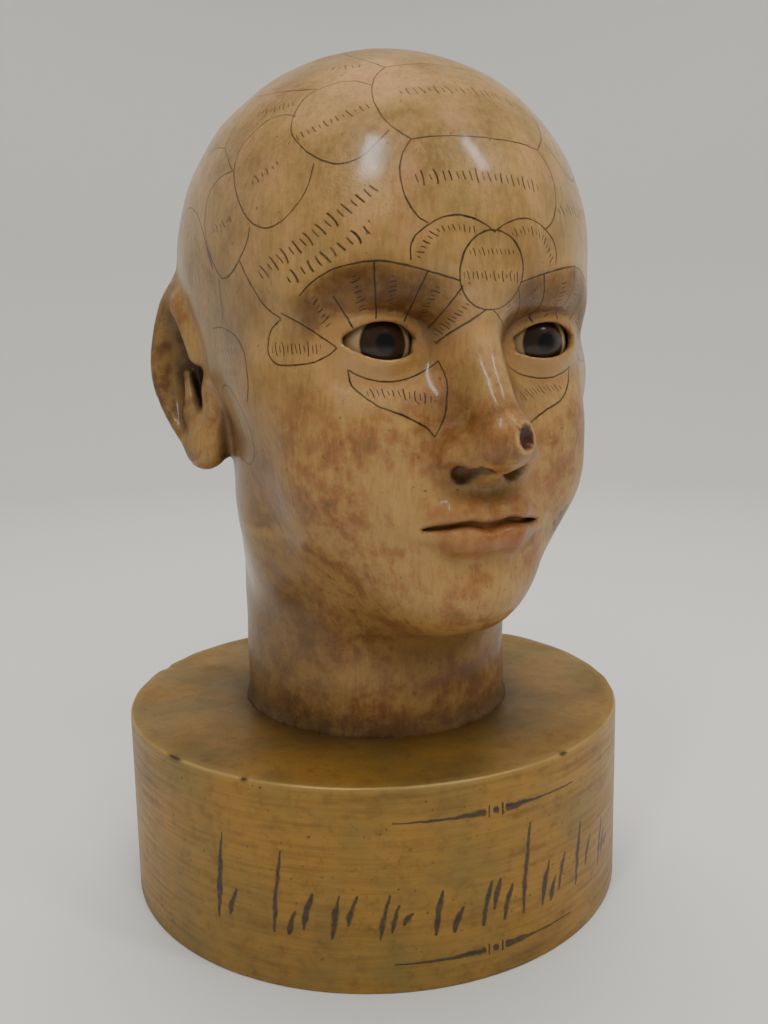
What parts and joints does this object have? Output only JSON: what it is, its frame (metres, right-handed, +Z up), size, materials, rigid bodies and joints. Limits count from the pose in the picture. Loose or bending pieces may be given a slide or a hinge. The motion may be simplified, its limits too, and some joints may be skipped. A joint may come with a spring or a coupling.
{
  "type": "phrenology head",
  "caption": "Bald carved and varnished head with its neck, inset glass eyes and inked phrenology regions, standing on a round plinth painted gold-bronze.",
  "frame": {"origin": "middle of the plinth's flat underside, below the neck's axis", "axes": "+Z up along the plinth's axis, -Y the way the face looks, -X the figure's own right ear"},
  "size_m": [0.204, 0.2229, 0.326],
  "materials": {
    "varnished_skin": "satin varnish over ochre paint",
    "bronze_paint": "gold-bronze paint, brushed on",
    "eye_glass": "polished"
  },
  "bodies": {
    "root": {"plinth": "bronze_paint", "head": "varnished_skin", "eye_right": "eye_glass", "eye_left": "eye_glass"}
  },
  "joints": []
}
